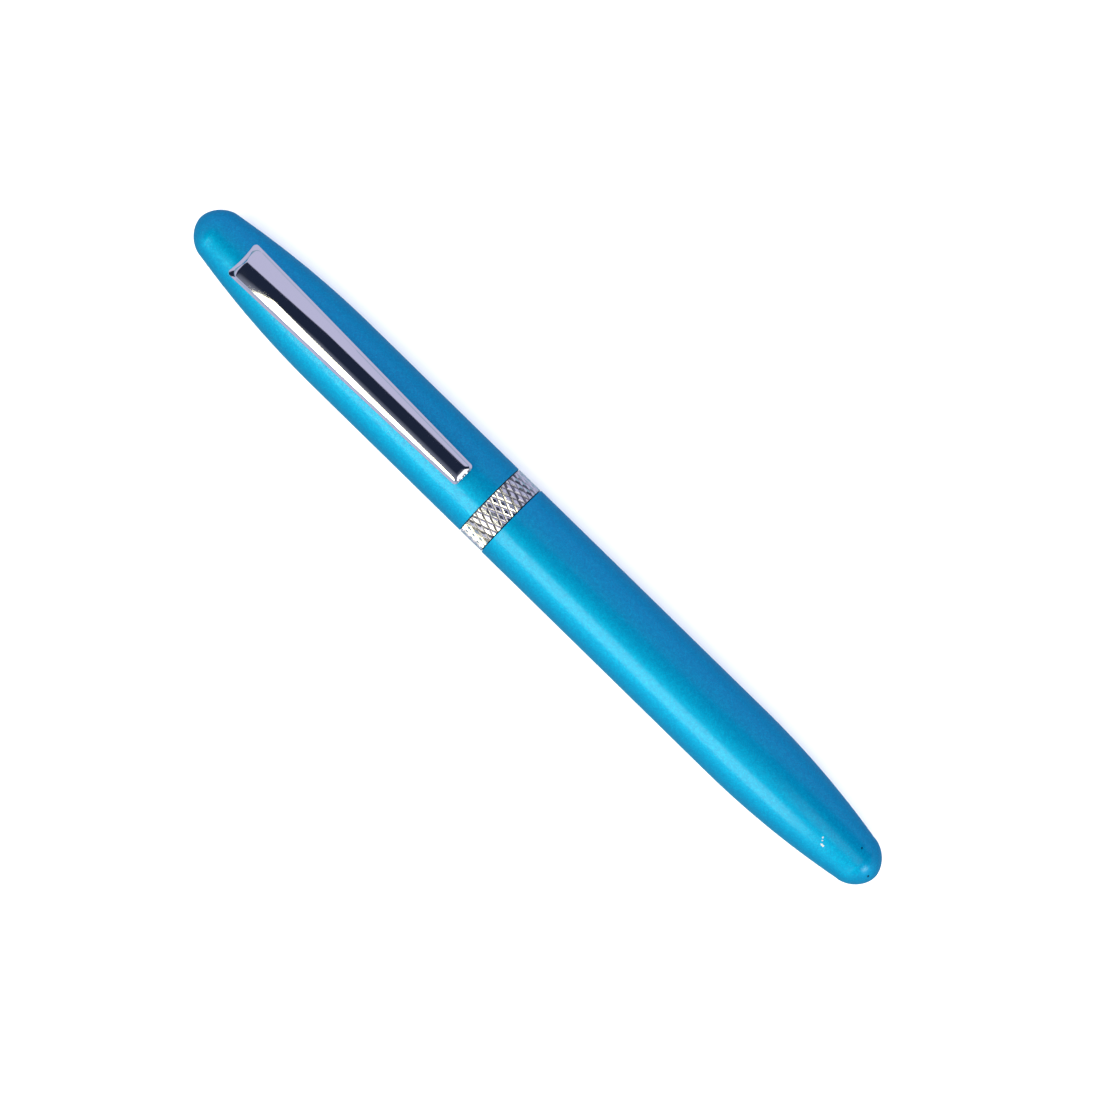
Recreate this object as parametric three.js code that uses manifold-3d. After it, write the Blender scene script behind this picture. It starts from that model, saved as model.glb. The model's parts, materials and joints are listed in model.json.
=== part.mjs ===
// A capped rollerball pen, lying on its side with the cap on and the pocket clip uppermost.
//
// Frame: +X runs along the pen towards the writing tip and the cap's end, +Z is up, millimetres.
// The origin is under the middle of the pen, on the surface that the pen lies on.
// Inside the file every place along the pen is measured from the joint, the plane where the
// barrel's mouth meets the cap's mouth: the barrel is on the negative side, the cap on the other.
//
// Round pieces are polygons whose flats touch the true circle, so a bore's clearance is real and
// the pen rests on one flat of the barrel, which stands for its line of contact.

import * as THREE from "three";
import { mergeVertices } from "three/addons/utils/BufferGeometryUtils.js";
import Module from "manifold-3d";

const wasm = await Module();
wasm.setup();

// ---------------------------------------------------------------- driving dimensions, mm

// Outside shape
const BODY_DIAMETER = 12.5; // the barrel's straight stretch
const BARREL_LENGTH = 74.3;
const CAP_LENGTH = 63.7; // with its knurled band
const BAND_LENGTH = 4.3;
const CAP_STEP = 0.05; // the cap's radius is this much under the barrel's
const SEAM = 0.1; // between two outside pieces end to end
const BARREL_TAPER_LENGTH = 28.5; // from the barrel's tip
const BARREL_TAPER_RADIUS = 138;
const CAP_TAPER_LENGTH = 29; // from the cap's tip
const CAP_TAPER_RADIUS = 150;
const DOME_LENGTH = 4.1; // the rounded last stretch of either end
const DOME_FULLNESS = 1.8; // 2 would be an ellipse, and less is more pointed

// Clearances
const STATIC_GAP = 0.05; // between pieces fixed to each other
const RUNNING_GAP = 0.15; // between pieces that move on each other

// Barrel
const BARREL_WALL = 0.75;
const TAIL_WALL = 2.2;
const BARREL_CONE_START = 26; // the bore narrows from here, measured from the tip
const BARREL_CONE_END = 9;
const REFILL_GUIDE_GAP = 0.3;
const SPRING_POCKET_RADIUS = 2.7;
const SEAT_THICKNESS = 0.7;
const SPRING_LENGTH = 3.4;
const SPRING_RADIUS = 1.9; // to the middle of the wire
const SPRING_WIRE = 0.22; // radius
const SPRING_TURNS = 4;
const REFILL_FLOAT = 1.2; // how far the refill can push back against its spring

// Thread between barrel and section
const THREAD_PITCH = 1.25;
const THREAD_DEPTH = 0.35;
const THREAD_TURNS = 4;
const BUSH_LENGTH = 7.8;
const BUSH_WALL = 0.95; // from the thread's inside to the bush's outside
const THREAD_SET_BACK = 0.6; // from the bush's mouth to the first turn

// Section
const FLANGE_LENGTH = 0.8;
const O_RING_RADIUS = 0.4; // of the rubber
const TRIM_NECK_LENGTH = 1.4;
const SPIGOT_LENGTH = 6;
const SPIGOT_WALL = 0.7;
const LAND_LENGTH = 8; // the straight stretch that the cap's sleeve slides on
const GRIP_TAPER = 0.85; // how much the grip's radius drops towards the nose
const GRIP_LIP = 0.18; // the small flare that stops the fingers
const GRIP_LIP_LENGTH = 2.2;
const NOSE_LENGTH = 8.2;
const NOSE_SPIGOT_LENGTH = 4;
const NOSE_WALL = 0.4;
const TIP_STICKOUT = 2.5; // the refill's tip in front of the nose
const CATCH_PLACE = 4.6; // the catch ring's rear side, in front of the joint
const CATCH_WIDTH = 1;
const CATCH_DEPTH = 0.6; // of its groove in the section
const CATCH_STAND = 0.15; // how far the ring stands into the sleeve's groove
const CATCH_SPLIT = 1.2; // the ring's opening

// Refill
const REFILL_DIAMETER = 6;
const REFILL_WALL = 0.4;
const TIP_ROOM = 21; // from the writing tip to the cap's end
const REFILL_SHOULDER = 12.7; // the places on the refill's front, measured back from its tip
const REFILL_NECK_END = 6.7;
const TIP_CONE_START = 4.7;
const NECK_RADIUS = 1.9;
const TIP_TUBE_RADIUS = 1.2;
const TIP_MOUTH_RADIUS = 0.5;
const TIP_SHANK_RADIUS = 0.9;
const TIP_SHANK_LENGTH = 2;
const BALL_RADIUS = 0.35;
const BALL_GAP = 0.06;
const FEED_RADIUS = 0.4;
const FEED_IN_FIBRE = 14;
const COLLAR_LENGTH = 2;
const HOUSING_SPIGOT = 4;
const PLUG_FLANGE = 0.6;
const PLUG_SPIGOT = 2.2;
const VENT_RADIUS = 0.5;

// Cap
const CAP_WALL = 0.5;
const SLEEVE_WALL = 0.55;
const SLEEVE_TO_LINER = 9; // the space between the sleeve's end and the liner's mouth
const CAP_CONE_START = 28; // the bore narrows from here, measured from the cap's tip
const CAP_CONE_END = 8;
const CAP_CONE_DROP = 1.5;
const CAP_FLOOR = 2.2;
const LINER_FLANGE_LENGTH = 6;
const LINER_OVERLAP = 3; // how far the liner reaches behind the nose
const LINER_WALL = 0.7;
const LINER_ROOM = 8; // in front of the writing tip
const LINER_FLOOR = 1;

// Clip
const CLIP_HEAD = 9.5; // from the cap's tip to the clip's head
const CLIP_LENGTH = 45.2;
const CLIP_HEAD_WIDTH = 6.04;
const CLIP_TIP_WIDTH = 3.86;
const CLIP_CORNER = 0.65;
const CLIP_THICKNESS = 0.75; // at its edges
const CLIP_CROWN = 0.4; // the middle of its top stands this much over the edges
const CLIP_RISE = 1; // under the arm, over the cap's straight stretch
const CLIP_HEAD_GAP = 0.2; // under the head
const CLIP_SLOPE_LENGTH = 17; // from the head to where the arm is level
const CLIP_TIP_DROP = 0.7; // the arm's end bends down by this
const FOOT_SET_BACK = 1.5; // from the head's end to the foot's middle
const FOOT_THICKNESS = 0.7;
const FOOT_WIDTH = 3;
const FOOT_REACH = 2.2; // below the cap's outside
const FOOT_GAP = 0.3; // around the foot, for the clip to flex
const HOLDER_BORE = 1.2;

// Facets
const OUTER_SIDES = 40;
const INNER_SIDES = 32;
const SMALL_SIDES = 24;
const FINE_SIDES = 16;
const TAPER_STEPS = 7;
const DOME_STEPS = 8;
const HELIX_STEPS = 18; // to a turn

// ---------------------------------------------------------------- derived sizes and places

const bodyRadius = BODY_DIAMETER / 2;
const capRadius = bodyRadius - CAP_STEP;
const barrelTip = -BARREL_LENGTH;
const barrelBore = bodyRadius - BARREL_WALL;
const capBore = capRadius - CAP_WALL;
const refillRadius = REFILL_DIAMETER / 2;
const guideBore = refillRadius + REFILL_GUIDE_GAP;
const refillBore = refillRadius + RUNNING_GAP;

const pocketFloor = barrelTip + TAIL_WALL;
const seatTop = pocketFloor + STATIC_GAP + SEAT_THICKNESS;
const springEnd = seatTop + STATIC_GAP + SPRING_LENGTH;
const refillRear = springEnd + RUNNING_GAP;
const writingTip = CAP_LENGTH - TIP_ROOM;

const bushRadius = barrelBore - STATIC_GAP;
const coreRadius = bushRadius - BUSH_WALL;
const flangeFace = -SEAM;
const flangeBack = flangeFace - FLANGE_LENGTH;
const ringMiddle = flangeBack - STATIC_GAP - O_RING_RADIUS;
const bushMouth = ringMiddle - O_RING_RADIUS - STATIC_GAP;
const bushEnd = bushMouth - BUSH_LENGTH;
const ridgeEnd = bushMouth - THREAD_SET_BACK;
const ridgeStart = ridgeEnd - THREAD_TURNS * THREAD_PITCH;
const threadTail = bushEnd + THREAD_SET_BACK;

const sleeveRadius = capBore - STATIC_GAP;
const sleeveBore = sleeveRadius - SLEEVE_WALL;
const landRadius = sleeveBore - RUNNING_GAP;
const gripRear = flangeFace + TRIM_NECK_LENGTH + STATIC_GAP;
const noseFront = writingTip - TIP_STICKOUT;
const gripFront = noseFront - NOSE_LENGTH;
const gripFrontRadius = landRadius - GRIP_TAPER;
const spigotRadius = refillBore + SPIGOT_WALL;
const noseSpigotRadius = refillBore + NOSE_WALL;
const shoulder = writingTip - REFILL_SHOULDER;
const neckEnd = writingTip - REFILL_NECK_END;

const bandEnd = SEAM + BAND_LENGTH;
const capTip = CAP_LENGTH;
const clipHead = capTip - CLIP_HEAD;
const clipTip = clipHead - CLIP_LENGTH;
const footPlace = clipHead - FOOT_SET_BACK;
const linerMouth = gripFront - LINER_OVERLAP;
const linerEnd = writingTip + LINER_ROOM + LINER_FLOOR;
const sleeveEnd = linerMouth - SLEEVE_TO_LINER;

// ---------------------------------------------------------------- building blocks

// A closed geometry as a solid that can be joined and cut.
function solidOf(geometry) {
  const bare = geometry.clone();
  bare.deleteAttribute("normal");
  bare.deleteAttribute("uv");
  const merged = mergeVertices(bare, 1e-4);
  const vertProperties = merged.attributes.position.array;
  const triVerts = new Uint32Array(merged.index.array);
  return new wasm.Manifold(new wasm.Mesh({ numProp: 3, vertProperties, triVerts }));
}

function geometryOf(solid) {
  const mesh = solid.getMesh();
  const geometry = new THREE.BufferGeometry();
  geometry.setAttribute("position", new THREE.BufferAttribute(mesh.vertProperties, 3));
  geometry.setIndex(new THREE.BufferAttribute(mesh.triVerts, 1));
  geometry.computeVertexNormals();
  return geometry;
}

// Turns an outline of [place along the pen, radius] points about the pen's axis. An outline that
// begins and ends on the axis is a solid of revolution, and any other is closed into a ring.
function turned(outline, sides) {
  const onAxis = outline[0][1] === 0 && outline.at(-1)[1] === 0;
  const closed = onAxis ? outline : [...outline, outline[0]];
  const outward = 1 / Math.cos(Math.PI / sides);
  const points = closed.map(([along, radius]) => new THREE.Vector2(radius * outward, along));
  if (THREE.ShapeUtils.area(points) < 0) points.reverse();
  const lathe = new THREE.LatheGeometry(points, sides, Math.PI / sides);
  return solidOf(lathe.rotateZ(-Math.PI / 2));
}

// A plain ring or tube.
function tube(from, to, inner, outer, sides) {
  return turned([[from, inner], [to, inner], [to, outer], [from, outer]], sides);
}

function rod(from, to, radius, sides) {
  return turned([[from, 0], [from, radius], [to, radius], [to, 0]], sides);
}

class Helix extends THREE.Curve {
  constructor(radius, pitch, start, turns) {
    super();
    Object.assign(this, { radius, pitch, start, turns });
  }

  getPoint(t, target = new THREE.Vector3()) {
    const angle = 2 * Math.PI * this.turns * t;
    const along = this.start + this.pitch * this.turns * t;
    return target.set(along, this.radius * Math.cos(angle), this.radius * Math.sin(angle));
  }
}

// A six-sided wire wound right-handed about the pen's axis.
function coil(helix, wireRadius) {
  const section = new THREE.Shape();
  for (let i = 0; i < 6; i += 1) {
    const angle = (i * Math.PI) / 3;
    const corner = [wireRadius * Math.cos(angle), wireRadius * Math.sin(angle)];
    if (i === 0) section.moveTo(...corner);
    else section.lineTo(...corner);
  }
  const steps = Math.round(helix.turns * HELIX_STEPS);
  const options = { steps, extrudePath: helix, bevelEnabled: false };
  return solidOf(new THREE.ExtrudeGeometry(section, options));
}

function block(fromX, toX, width, fromZ, toZ) {
  const box = new THREE.BoxGeometry(toX - fromX, width, toZ - fromZ);
  return solidOf(box.translate((fromX + toX) / 2, 0, (fromZ + toZ) / 2));
}

const materials = {
  teal: { color: 0x0a86b8, roughness: 0.38, metalness: 0.6 },
  chrome: { color: 0xd8d8dc, roughness: 0.08, metalness: 1 },
  knurl: { color: 0xd2d2d6, roughness: 0.2, metalness: 1 },
  brass: { color: 0xc8a45a, roughness: 0.3, metalness: 1 },
  steel: { color: 0xb4b6ba, roughness: 0.25, metalness: 1 },
  blackPlastic: { color: 0x15161a, roughness: 0.3, metalness: 0 },
  greyPlastic: { color: 0x8c9096, roughness: 0.5, metalness: 0 },
  whitePlastic: { color: 0xe8e8e4, roughness: 0.45, metalness: 0 },
  fibre: { color: 0x22335f, roughness: 0.9, metalness: 0 },
  rubber: { color: 0x101010, roughness: 0.8, metalness: 0 },
};

function part(name, solid, finish) {
  const mesh = new THREE.Mesh(geometryOf(solid), new THREE.MeshStandardMaterial(materials[finish]));
  mesh.name = name;
  return mesh;
}

function assembly(...pieces) {
  const group = new THREE.Group();
  group.add(...pieces);
  return group;
}

// ---------------------------------------------------------------- the outside shape of the ends

// The radius at a distance from an end's tip, on the taper that runs into the straight stretch.
function taperRadius(distance, radius, length, bend) {
  const into = Math.max(0, length - distance);
  return radius - (bend - Math.sqrt(bend * bend - into * into));
}

// [distance from the tip, radius] points from the tip's point to the start of the straight stretch.
function endOutline(radius, length, bend) {
  const rim = taperRadius(DOME_LENGTH, radius, length, bend);
  const points = [];
  for (let i = 0; i < DOME_STEPS; i += 1) {
    const distance = DOME_LENGTH * (1 - Math.cos((i / DOME_STEPS) * (Math.PI / 2)));
    const share = 1 - distance / DOME_LENGTH;
    const height = (1 - share ** DOME_FULLNESS) ** (1 / DOME_FULLNESS);
    points.push([distance, i === 0 ? 0 : rim * height]);
  }
  for (let i = 0; i <= TAPER_STEPS; i += 1) {
    const distance = DOME_LENGTH + ((length - DOME_LENGTH) * i) / TAPER_STEPS;
    points.push([distance, taperRadius(distance, radius, length, bend)]);
  }
  return points;
}

function capSurface(along) {
  return taperRadius(capTip - along, capRadius, CAP_TAPER_LENGTH, CAP_TAPER_RADIUS);
}

// The cap shell's bore, which narrows towards its end.
function capBoreAt(along) {
  const start = capTip - CAP_CONE_START;
  const end = capTip - CAP_CONE_END;
  const share = THREE.MathUtils.clamp((along - start) / (end - start), 0, 1);
  return capBore - CAP_CONE_DROP * share;
}

// ---------------------------------------------------------------- barrel

function barrelShell() {
  const outside = endOutline(bodyRadius, BARREL_TAPER_LENGTH, BARREL_TAPER_RADIUS);
  const guideEnd = refillRear - REFILL_FLOAT - RUNNING_GAP;
  return turned([
    ...outside.map(([distance, radius]) => [barrelTip + distance, radius]),
    [0, bodyRadius],
    [0, barrelBore],
    [barrelTip + BARREL_CONE_START, barrelBore],
    [barrelTip + BARREL_CONE_END, guideBore],
    [guideEnd, guideBore],
    [guideEnd, SPRING_POCKET_RADIUS],
    [pocketFloor, SPRING_POCKET_RADIUS],
    [pocketFloor, 0],
  ], OUTER_SIDES);
}

// The groove's section is wider than the ridge's by the running gap, because the two turn past
// each other's facets.
function barrelThreadBush() {
  const bore = coreRadius + RUNNING_GAP;
  const lead = 2 * THREAD_PITCH;
  const turns = THREAD_TURNS + Math.ceil((bushMouth - ridgeEnd + lead) / THREAD_PITCH) + 1;
  const groove = coil(
    new Helix(coreRadius, THREAD_PITCH, ridgeStart - THREAD_PITCH, turns),
    THREAD_DEPTH + RUNNING_GAP,
  );
  return tube(bushEnd, bushMouth, bore, bushRadius, INNER_SIDES).subtract(groove);
}

function springSeat() {
  const radius = SPRING_POCKET_RADIUS - STATIC_GAP;
  const rim = SPRING_RADIUS - SPRING_WIRE - STATIC_GAP;
  return turned([
    [pocketFloor + STATIC_GAP, 0],
    [pocketFloor + STATIC_GAP, radius],
    [seatTop, radius],
    [seatTop, rim],
    [seatTop + SPRING_WIRE, rim],
    [seatTop + SPRING_WIRE, 0],
  ], SMALL_SIDES);
}

function refillSpring() {
  const start = seatTop + STATIC_GAP + SPRING_WIRE;
  const pitch = (SPRING_LENGTH - 2 * SPRING_WIRE) / SPRING_TURNS;
  return coil(new Helix(SPRING_RADIUS, pitch, start, SPRING_TURNS), SPRING_WIRE);
}

// ---------------------------------------------------------------- section

function oRing() {
  const points = [];
  const middle = coreRadius + STATIC_GAP + O_RING_RADIUS;
  for (let i = 0; i < 8; i += 1) {
    const angle = (i * Math.PI) / 4;
    const along = ringMiddle + O_RING_RADIUS * Math.cos(angle);
    points.push([along, middle + O_RING_RADIUS * Math.sin(angle)]);
  }
  return turned(points, INNER_SIDES);
}

function sectionThread() {
  const body = turned([
    [threadTail, refillBore],
    [threadTail, coreRadius],
    [flangeBack - STATIC_GAP, coreRadius],
    [flangeBack - STATIC_GAP, spigotRadius],
    [gripRear + SPIGOT_LENGTH, spigotRadius],
    [gripRear + SPIGOT_LENGTH, refillBore],
  ], INNER_SIDES);
  const ridge = coil(
    new Helix(coreRadius, THREAD_PITCH, ridgeStart, THREAD_TURNS),
    THREAD_DEPTH,
  );
  return body.add(ridge);
}

function sectionTrimRing() {
  const bore = spigotRadius + STATIC_GAP;
  const flangeRadius = bushRadius - STATIC_GAP;
  return turned([
    [flangeBack, bore],
    [flangeBack, flangeRadius],
    [flangeFace, flangeRadius],
    [flangeFace, landRadius],
    [gripRear - STATIC_GAP, landRadius],
    [gripRear - STATIC_GAP, bore],
  ], INNER_SIDES);
}

function gripSection() {
  const landEnd = gripRear + LAND_LENGTH;
  const waist = gripFront - GRIP_LIP_LENGTH;
  const grooveFloor = landRadius - CATCH_DEPTH;
  const grooveRear = CATCH_PLACE - STATIC_GAP;
  const grooveFront = CATCH_PLACE + CATCH_WIDTH + STATIC_GAP;
  const bore = spigotRadius + STATIC_GAP;
  const spigotEnd = gripRear + SPIGOT_LENGTH + STATIC_GAP;
  const noseSocket = gripFront - NOSE_SPIGOT_LENGTH - STATIC_GAP;
  const noseBore = noseSpigotRadius + STATIC_GAP;
  return turned([
    [gripRear, bore],
    [gripRear, landRadius],
    [grooveRear, landRadius],
    [grooveRear, grooveFloor],
    [grooveFront, grooveFloor],
    [grooveFront, landRadius],
    [landEnd, landRadius],
    [waist, gripFrontRadius - GRIP_LIP],
    [gripFront - GRIP_LIP_LENGTH / 3, gripFrontRadius],
    [gripFront, gripFrontRadius],
    [gripFront, noseBore],
    [noseSocket, noseBore],
    [noseSocket, refillBore],
    [spigotEnd, refillBore],
    [spigotEnd, bore],
  ], INNER_SIDES);
}

// The nose holds the refill by its shoulder, and its tip comes out of the front.
function sectionNose() {
  const back = gripFront + STATIC_GAP;
  const seat = shoulder + STATIC_GAP;
  const neckBore = NECK_RADIUS + RUNNING_GAP;
  const tipBore = TIP_TUBE_RADIUS + RUNNING_GAP;
  return turned([
    [gripFront - NOSE_SPIGOT_LENGTH, refillBore],
    [gripFront - NOSE_SPIGOT_LENGTH, noseSpigotRadius],
    [back, noseSpigotRadius],
    [back, gripFrontRadius - STATIC_GAP],
    [noseFront - NOSE_LENGTH / 8, tipBore + 2 * NOSE_WALL],
    [noseFront, tipBore + NOSE_WALL],
    [noseFront, tipBore],
    [neckEnd + RUNNING_GAP, tipBore],
    [neckEnd + RUNNING_GAP, neckBore],
    [seat, neckBore],
    [seat, refillBore],
  ], INNER_SIDES);
}

// A split spring ring. It stands out into the sleeve's groove, and closes into its own groove
// while the cap's sleeve slides over it.
function catchRing() {
  const inner = landRadius - CATCH_DEPTH + RUNNING_GAP;
  const outer = sleeveBore + CATCH_STAND;
  const ring = turned([
    [CATCH_PLACE, inner],
    [CATCH_PLACE + CATCH_WIDTH, inner],
    [CATCH_PLACE + 0.7 * CATCH_WIDTH, outer],
    [CATCH_PLACE + 0.3 * CATCH_WIDTH, outer],
  ], INNER_SIDES);
  const split = block(0, gripFront, CATCH_SPLIT, -bodyRadius, 0);
  return ring.subtract(split);
}

// ---------------------------------------------------------------- refill

function refillTube() {
  const bore = refillRadius - REFILL_WALL;
  const from = refillRear + PLUG_FLANGE + STATIC_GAP;
  const to = shoulder - COLLAR_LENGTH - STATIC_GAP;
  return tube(from, to, bore, refillRadius, SMALL_SIDES);
}

function refillEndPlug() {
  const spigot = refillRadius - REFILL_WALL - STATIC_GAP;
  return turned([
    [refillRear, VENT_RADIUS],
    [refillRear, refillRadius],
    [refillRear + PLUG_FLANGE, refillRadius],
    [refillRear + PLUG_FLANGE, spigot],
    [refillRear + PLUG_FLANGE + PLUG_SPIGOT, spigot],
    [refillRear + PLUG_FLANGE + PLUG_SPIGOT, VENT_RADIUS],
  ], SMALL_SIDES);
}

function inkFibre() {
  const radius = refillRadius - REFILL_WALL - 2 * STATIC_GAP;
  const from = refillRear + PLUG_FLANGE + PLUG_SPIGOT + STATIC_GAP;
  const to = shoulder - COLLAR_LENGTH - HOUSING_SPIGOT - STATIC_GAP;
  const feedEnd = to - FEED_IN_FIBRE;
  return turned([
    [from, 0],
    [from, radius],
    [to, radius],
    [to, FEED_RADIUS + STATIC_GAP],
    [feedEnd, FEED_RADIUS + STATIC_GAP],
    [feedEnd, 0],
  ], SMALL_SIDES);
}

function refillFront() {
  const collar = shoulder - COLLAR_LENGTH;
  const spigot = refillRadius - REFILL_WALL - STATIC_GAP;
  const bore = FEED_RADIUS + STATIC_GAP;
  const shankBore = TIP_SHANK_RADIUS + STATIC_GAP;
  const shankEnd = neckEnd - TIP_SHANK_LENGTH - STATIC_GAP;
  return turned([
    [collar - HOUSING_SPIGOT, bore],
    [collar - HOUSING_SPIGOT, spigot],
    [collar, spigot],
    [collar, refillRadius],
    [shoulder, refillRadius],
    [shoulder, NECK_RADIUS],
    [neckEnd, NECK_RADIUS],
    [neckEnd, shankBore],
    [shankEnd, shankBore],
    [shankEnd, bore],
  ], SMALL_SIDES);
}

function feedRod() {
  const from = shoulder - COLLAR_LENGTH - HOUSING_SPIGOT - FEED_IN_FIBRE;
  const to = writingTip - 2 * BALL_RADIUS - 2 * BALL_GAP;
  return rod(from, to, FEED_RADIUS - STATIC_GAP, FINE_SIDES);
}

function refillTip() {
  const back = neckEnd + STATIC_GAP;
  const coneStart = writingTip - TIP_CONE_START;
  const mouth = writingTip - BALL_RADIUS / 2;
  const bore = Math.max(FEED_RADIUS, BALL_RADIUS + BALL_GAP);
  return turned([
    [neckEnd - TIP_SHANK_LENGTH, bore],
    [neckEnd - TIP_SHANK_LENGTH, TIP_SHANK_RADIUS],
    [back, TIP_SHANK_RADIUS],
    [back, TIP_TUBE_RADIUS],
    [coneStart, TIP_TUBE_RADIUS],
    [mouth, TIP_MOUTH_RADIUS],
    [mouth, bore],
  ], SMALL_SIDES);
}

function writingBall() {
  const sphere = new THREE.SphereGeometry(BALL_RADIUS, FINE_SIDES, FINE_SIDES / 2);
  return solidOf(sphere.translate(writingTip - BALL_RADIUS, 0, 0));
}

// ---------------------------------------------------------------- cap

function capShell() {
  const outside = endOutline(capRadius, CAP_TAPER_LENGTH, CAP_TAPER_RADIUS);
  const mouth = bandEnd + SEAM;
  const coneEnd = capTip - CAP_CONE_END;
  const shell = turned([
    ...outside.map(([distance, radius]) => [capTip - distance, radius]),
    [mouth, capRadius],
    [mouth, capBore],
    [capTip - CAP_CONE_START, capBore],
    [coneEnd, capBoreAt(coneEnd)],
    [capTip - 1.4 * CAP_FLOOR, capBoreAt(coneEnd) / 2],
    [capTip - CAP_FLOOR, 0],
  ], OUTER_SIDES);
  const half = FOOT_THICKNESS / 2 + FOOT_GAP;
  const slot = block(footPlace - half, footPlace + half, FOOT_WIDTH + 2 * FOOT_GAP, 0, bodyRadius);
  return shell.subtract(slot);
}

// The knurling itself is finer than this ring, whose outside is the knurls' crests.
function capBand() {
  const chamfer = SEAM;
  return turned([
    [SEAM, capBore],
    [SEAM, capRadius - chamfer],
    [SEAM + chamfer, capRadius],
    [bandEnd - chamfer, capRadius],
    [bandEnd, capRadius - chamfer],
    [bandEnd, capBore],
  ], OUTER_SIDES);
}

// The sleeve carries the band and the shell, and its groove takes the catch ring.
function capSleeve() {
  const grooveFloor = sleeveBore + CATCH_STAND + RUNNING_GAP;
  const grooveRear = CATCH_PLACE - RUNNING_GAP;
  const grooveFront = CATCH_PLACE + CATCH_WIDTH + RUNNING_GAP;
  return turned([
    [2 * SEAM, sleeveRadius],
    [sleeveEnd, sleeveRadius],
    [sleeveEnd, sleeveBore],
    [grooveFront, sleeveBore],
    [grooveFront - 0.3 * CATCH_WIDTH, grooveFloor],
    [grooveRear + 0.3 * CATCH_WIDTH, grooveFloor],
    [grooveRear, sleeveBore],
    [2 * SEAM, sleeveBore],
  ], INNER_SIDES);
}

// The liner closes over the writing tip, so that the ink doesn't dry.
function innerCap() {
  const mouthBore = gripFrontRadius + 2 * RUNNING_GAP;
  const flangeEnd = linerMouth + LINER_FLANGE_LENGTH;
  const endRadius = capBoreAt(linerEnd) - RUNNING_GAP;
  const flangeRadius = capBoreAt(flangeEnd) - STATIC_GAP;
  const floor = writingTip + LINER_ROOM;
  return turned([
    [linerMouth, mouthBore],
    [linerMouth, flangeRadius],
    [flangeEnd, flangeRadius],
    [flangeEnd, mouthBore + LINER_WALL],
    [floor, endRadius],
    [linerEnd, endRadius - LINER_FLOOR / 2],
    [linerEnd, 0],
    [floor, 0],
    [floor, endRadius - LINER_WALL],
    [noseFront, mouthBore],
  ], INNER_SIDES);
}

// The plug that the clip's foot is held in, pressed into the end of the cap.
function clipHolder() {
  const from = linerEnd + RUNNING_GAP;
  const to = capTip - CAP_CONE_END - STATIC_GAP;
  const body = turned([
    [from, HOLDER_BORE],
    [from, capBoreAt(from) - STATIC_GAP],
    [to, capBoreAt(to) - STATIC_GAP],
    [to, HOLDER_BORE],
  ], INNER_SIDES);
  const half = FOOT_THICKNESS / 2 + FOOT_GAP;
  const slot = block(footPlace - half, footPlace + half, FOOT_WIDTH + 2 * FOOT_GAP, 0, bodyRadius);
  return body.subtract(slot);
}

// ---------------------------------------------------------------- clip

// The middle of the arm's underside, from the head, up the slope, along the cap and down again.
function clipPath() {
  const headHeight = capSurface(clipHead) + CLIP_HEAD_GAP;
  const level = capRadius + CLIP_RISE;
  const slopeEnd = clipHead - CLIP_SLOPE_LENGTH;
  const tipBend = 2 * CLIP_TIP_DROP;
  const at = (x, z) => new THREE.Vector3(x, 0, z);
  const path = new THREE.CurvePath();
  path.add(new THREE.QuadraticBezierCurve3(
    at(clipHead, headHeight),
    at(clipHead - CLIP_SLOPE_LENGTH / 2, level),
    at(slopeEnd, level),
  ));
  path.add(new THREE.LineCurve3(at(slopeEnd, level), at(clipTip + tipBend, level)));
  path.add(new THREE.QuadraticBezierCurve3(
    at(clipTip + tipBend, level),
    at(clipTip + tipBend / 3, level),
    at(clipTip, level - CLIP_TIP_DROP),
  ));
  return path;
}

// The arm's cross-section: flat below, crowned above.
function clipSection() {
  const half = CLIP_HEAD_WIDTH / 2 + CLIP_CORNER;
  const crownRadius = (half * half + CLIP_CROWN * CLIP_CROWN) / (2 * CLIP_CROWN);
  const spread = Math.asin(half / crownRadius);
  const crownMiddle = CLIP_THICKNESS + CLIP_CROWN - crownRadius;
  const section = new THREE.Shape();
  section.moveTo(-half, 0);
  section.lineTo(half, 0);
  const up = Math.PI / 2;
  section.absarc(0, crownMiddle, crownRadius, up - spread, up + spread, false);
  section.closePath();
  return section;
}

// Seen from above: wide at the head, narrow at the tip, with rounded corners.
function clipPlan() {
  const head = CLIP_HEAD_WIDTH / 2;
  const tip = CLIP_TIP_WIDTH / 2;
  const plan = new THREE.Shape();
  plan.moveTo(clipHead, -head + CLIP_CORNER);
  plan.lineTo(clipHead, head - CLIP_CORNER);
  plan.quadraticCurveTo(clipHead, head, clipHead - CLIP_CORNER, head);
  plan.lineTo(clipTip + CLIP_CORNER, tip);
  plan.quadraticCurveTo(clipTip, tip, clipTip, tip - CLIP_CORNER);
  plan.lineTo(clipTip, -tip + CLIP_CORNER);
  plan.quadraticCurveTo(clipTip, -tip, clipTip + CLIP_CORNER, -tip);
  plan.lineTo(clipHead - CLIP_CORNER, -head);
  plan.quadraticCurveTo(clipHead, -head, clipHead, -head + CLIP_CORNER);
  return plan;
}

function clipArm() {
  const sweep = { steps: 24, extrudePath: clipPath(), bevelEnabled: false, curveSegments: 8 };
  const arm = solidOf(new THREE.ExtrudeGeometry(clipSection(), sweep));
  const tall = { depth: BODY_DIAMETER, bevelEnabled: false, curveSegments: 4 };
  const plan = solidOf(new THREE.ExtrudeGeometry(clipPlan(), tall));
  const footTop = capSurface(footPlace) + CLIP_THICKNESS;
  const footEnd = capSurface(footPlace) - FOOT_REACH;
  const half = FOOT_THICKNESS / 2;
  const foot = block(footPlace - half, footPlace + half, FOOT_WIDTH, footEnd, footTop);
  return arm.intersect(plan).add(foot);
}

// ---------------------------------------------------------------- the pen

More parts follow.
